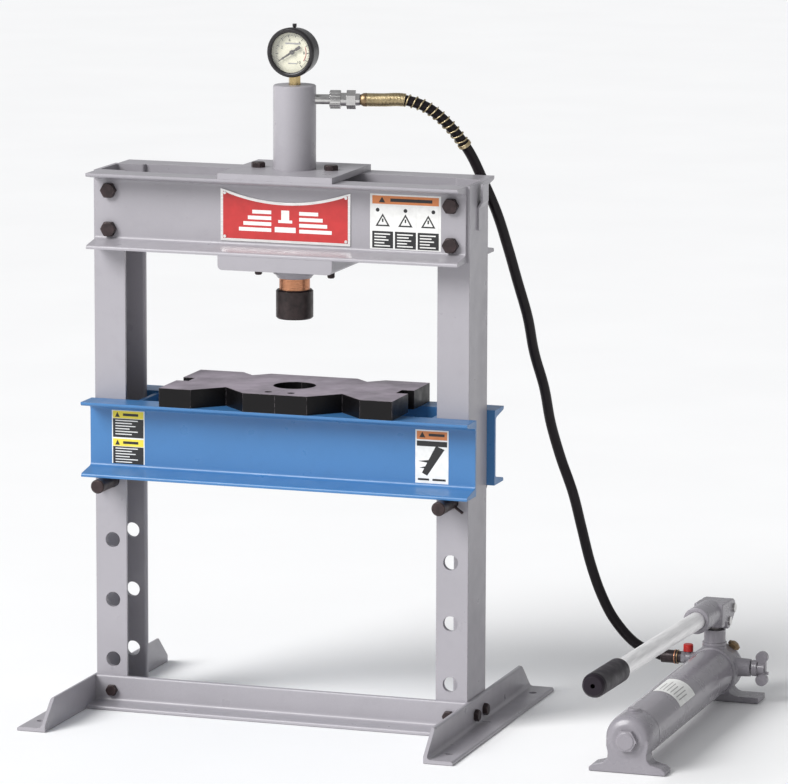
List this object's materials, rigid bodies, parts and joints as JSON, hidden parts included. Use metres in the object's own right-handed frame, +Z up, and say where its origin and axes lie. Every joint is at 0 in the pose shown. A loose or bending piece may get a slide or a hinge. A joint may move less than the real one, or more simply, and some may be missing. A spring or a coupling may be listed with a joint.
{
  "type": "bench hydraulic shop press",
  "caption": "Bench shop press of bolted steel channels: a short hydraulic ram over a blue bed on support pins, fed through a hose by a separate lever hand pump.",
  "frame": {"origin": "middle of the base on the floor, halfway between the two posts and midway along the feet", "axes": "+Z up, +X to the operator's right towards the pump, +Y to the back, the front with the gauge face is -Y"},
  "size_m": [0.908, 0.639, 0.931],
  "materials": {
    "frame_paint": "semi-gloss light grey paint",
    "black_steel": "black oxide, slightly brown",
    "nameplate_paint": "red enamel with a silver border",
    "copper_ram": "copper-coloured, turned",
    "seal_rubber": "matt black",
    "spring_steel": "drawn wire",
    "brass": "machined brass",
    "gauge_black": "satin black",
    "gauge_glass": "clear window",
    "dial_cream": "cream dial face",
    "needle_black": "matt black",
    "zinc_steel": "zinc plated",
    "hose_rubber": "black covered hose",
    "cap_red": "red",
    "bed_blue": "semi-gloss blue paint",
    "plate_black": "black, worn grey on top",
    "pump_paint": "grey paint on castings and tube",
    "grip_rubber": "smooth black grip"
  },
  "bodies": {
    "frame": {"post_left": "frame_paint", "post_right": "frame_paint", "head_beam_front": "frame_paint", "head_beam_rear": "frame_paint", "foot_left": "frame_paint", "foot_right": "frame_paint", "cross_brace": "frame_paint", "hanger_hook": "frame_paint", "head_plate": "frame_paint", "clamp_block": "frame_paint", "cylinder_barrel": "frame_paint", "cylinder_gland": "frame_paint", "head_bolts": "black_steel", "head_nuts": "black_steel", "base_bolts": "black_steel", "base_nuts": "black_steel", "clamp_bolts": "black_steel", "hose_ferrule": "black_steel", "nameplate": "nameplate_paint", "return_spring": "spring_steel", "gauge_stem": "brass", "hose_guard": "brass", "relief_plug": "brass", "gauge_case": "gauge_black", "gauge_bezel": "gauge_black", "gauge_plug": "gauge_black", "gauge_lens": "gauge_glass", "gauge_dial": "dial_cream", "port_nipple": "zinc_steel", "hose_nut": "zinc_steel", "hose": "hose_rubber", "port_cap": "cap_red", "pump_adapter": "pump_paint", "pump_reservoir": "pump_paint", "pump_front_foot": "pump_paint", "pump_front_plug": "pump_paint", "vent_screw": "pump_paint", "pump_body": "pump_paint", "pump_barrel": "pump_paint"},
    "ram": {"ram_plunger": "copper_ram", "piston_seal": "seal_rubber", "ram_nose": "black_steel"},
    "bed": {"bed_beam_front": "bed_blue", "bed_beam_rear": "bed_blue", "bed_spacers": "bed_blue"},
    "plate_left": {"table_plate_left": "plate_black"},
    "plate_right": {"table_plate_right": "plate_black"},
    "pin_left": {"support_pin_left": "black_steel", "cotter_left": "black_steel"},
    "pin_right": {"support_pin_right": "black_steel", "cotter_right": "black_steel"},
    "needle": {"gauge_needle": "needle_black"},
    "coupler": {"coupler_collar": "zinc_steel"},
    "lever": {"lever_socket": "pump_paint", "lever_tube": "zinc_steel", "lever_grip": "grip_rubber", "lever_pins": "zinc_steel"},
    "pump_rod": {"pump_plunger": "zinc_steel"},
    "release_knob": {"release_valve": "pump_paint"}
  },
  "joints": [
    {"name": "ram_slide", "type": "slide", "parent": "frame", "child": "ram", "axis": [0, 0, -1], "range_m": [0, 0.15], "stiffness_N_per_m": 900, "springref_m": -0.07, "deforming": ["return_spring"]},
    {"name": "bed_lift", "type": "slide", "parent": "frame", "child": "bed", "axis": [0, 0, 1], "range_m": [0, 0.0825]},
    {"name": "plate_left_slide", "type": "slide", "parent": "bed", "child": "plate_left", "axis": [-1, 0, 0], "range_m": [0, 0.045]},
    {"name": "plate_right_slide", "type": "slide", "parent": "bed", "child": "plate_right", "axis": [1, 0, 0], "range_m": [0, 0.045]},
    {"name": "pin_left_pull", "type": "slide", "parent": "frame", "child": "pin_left", "axis": [0, -1, 0], "range_m": [0, 0.14]},
    {"name": "pin_right_pull", "type": "slide", "parent": "frame", "child": "pin_right", "axis": [0, -1, 0], "range_m": [0, 0.14]},
    {"name": "gauge_needle_turn", "type": "hinge", "parent": "frame", "child": "needle", "pos_m": [0.007, -0.008, 0.894], "axis": [0, 1, 0], "range_deg": [0, 270], "stiffness_Nm_per_rad": 0.002, "springref_deg": -11.46},
    {"name": "coupler_collar_turn", "type": "hinge", "parent": "frame", "child": "coupler", "pos_m": [0.007, 0, 0.831], "axis": [0.9703, 0.2419, 0], "continuous": true},
    {"name": "lever_lift", "type": "hinge", "parent": "frame", "child": "lever", "pos_m": [0.528, 0.264, 0.127], "axis": [-1, 0, 0], "range_deg": [0, 45]},
    {"name": "pump_rod_slide", "type": "slide", "parent": "frame", "child": "pump_rod", "axis": [0, 0, 1], "range_m": [0, 0.02]},
    {"name": "release_knob_turn", "type": "hinge", "parent": "frame", "child": "release_knob", "pos_m": [0.528, 0.242, 0.05], "axis": [1, 0, 0], "range_deg": [0, 360]}
  ],
  "couplings": [
    {"joint": "pump_rod_slide", "follows": "lever_lift", "m_per_rad": 0.025}
  ]
}
